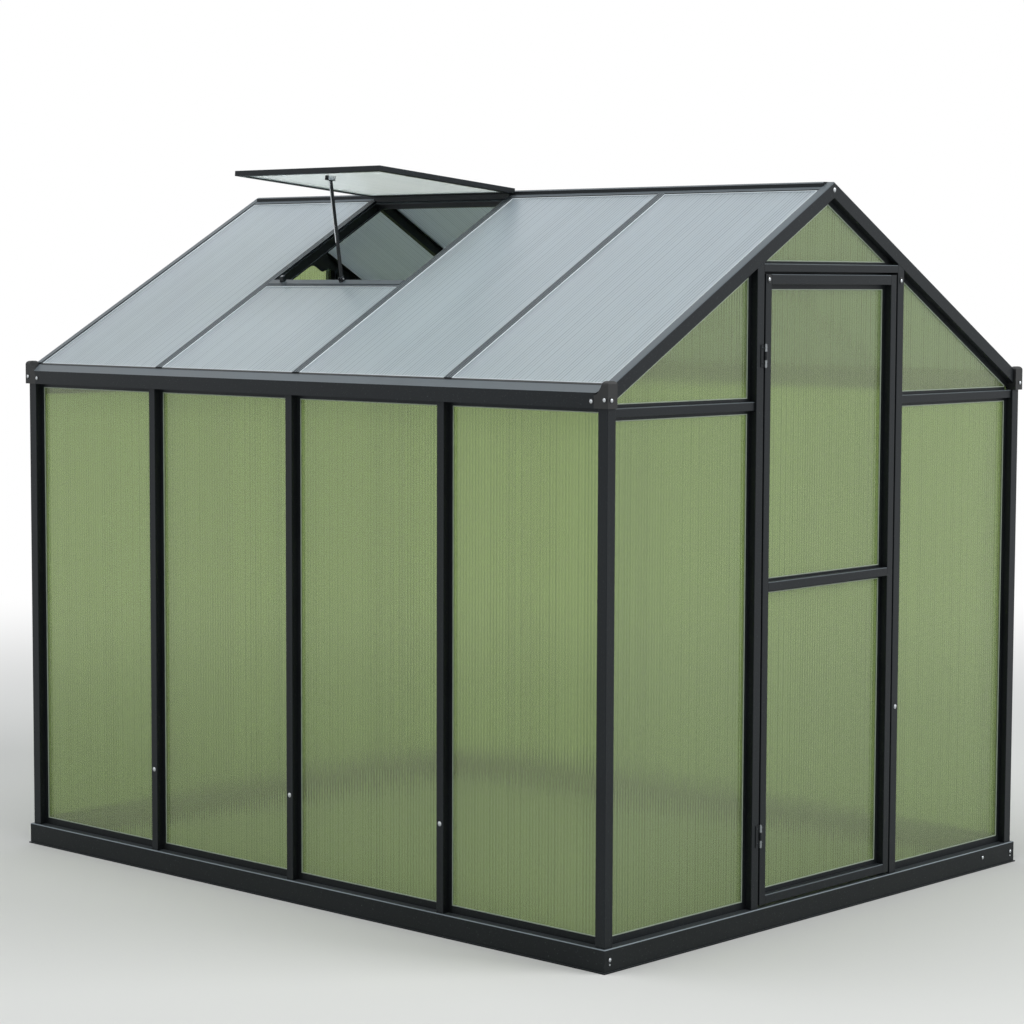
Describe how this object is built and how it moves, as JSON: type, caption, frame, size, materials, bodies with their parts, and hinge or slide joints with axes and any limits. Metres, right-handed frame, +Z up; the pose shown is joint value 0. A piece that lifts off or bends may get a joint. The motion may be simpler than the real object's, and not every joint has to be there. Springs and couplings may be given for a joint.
{
  "type": "polycarbonate greenhouse",
  "caption": "Walk-in gable greenhouse with a dark aluminium frame, twin-wall polycarbonate sheets, a hinged gable door and a roof vent held open by a stay.",
  "frame": {"origin": "middle of the footprint, on the ground under the base rails", "axes": "+Z up, +Y along the house away from the door gable, +X across the gable, so the door faces -Y"},
  "size_m": [1.908, 2.388, 2.0868],
  "materials": {
    "frame_aluminium": "anthracite powder coat, fine satin",
    "base_frame": "anthracite powder coat, fine satin",
    "twin_wall_sheet": "translucent twin-wall polycarbonate with fine flutes",
    "moulded_bracket": "black moulded plastic",
    "hinge_steel": "black coat over zinc",
    "stay_steel": "black powder coat"
  },
  "bodies": {
    "root": {"back_gable_bars": "frame_aluminium", "back_gable_rails": "frame_aluminium", "back_gable_sheets": "twin_wall_sheet", "base_rail_back": "base_frame", "base_rail_front": "base_frame", "base_rail_left": "base_frame", "base_rail_right": "base_frame", "corner_post_back_left": "frame_aluminium", "corner_post_back_right": "frame_aluminium", "corner_post_front_left": "frame_aluminium", "corner_post_front_right": "frame_aluminium", "door_header": "frame_aluminium", "door_jamb_hinge_side": "frame_aluminium", "door_jamb_latch_side": "frame_aluminium", "eave_corner_brackets": "moulded_bracket", "front_apex_sheet": "twin_wall_sheet", "front_gable_rails": "frame_aluminium", "front_gable_sheets": "twin_wall_sheet", "front_sill_channels": "frame_aluminium", "gable_rafter_back_left": "frame_aluminium", "gable_rafter_back_right": "frame_aluminium", "gable_rafter_front_left": "frame_aluminium", "gable_rafter_front_right": "frame_aluminium", "hinge_jamb_leaves": "hinge_steel", "left_gutter": "frame_aluminium", "left_roof_bars": "frame_aluminium", "left_roof_sheets": "twin_wall_sheet", "left_wall_bars": "frame_aluminium", "left_wall_sheets": "twin_wall_sheet", "ridge": "frame_aluminium", "right_gutter": "frame_aluminium", "right_roof_bars": "frame_aluminium", "right_roof_sheets": "twin_wall_sheet", "right_wall_bars": "frame_aluminium", "right_wall_sheets": "twin_wall_sheet", "vent_free_rail": "frame_aluminium", "vent_hinge_rail": "frame_aluminium", "vent_sheet": "twin_wall_sheet", "vent_side_rails": "frame_aluminium", "vent_sill": "frame_aluminium", "vent_stay": "stay_steel"},
    "door": {"door_stile_hinge_side": "frame_aluminium", "door_stile_latch_side": "frame_aluminium", "door_bottom_rail": "frame_aluminium", "door_middle_rail": "frame_aluminium", "door_top_rail": "frame_aluminium", "door_sheet": "twin_wall_sheet", "hinge_door_leaves": "hinge_steel"}
  },
  "joints": [
    {"name": "door_hinge", "type": "hinge", "parent": "root", "child": "door", "pos_m": [-0.304, -1.186, 1], "axis": [0, 0, -1], "range_deg": [0, 110]}
  ]
}
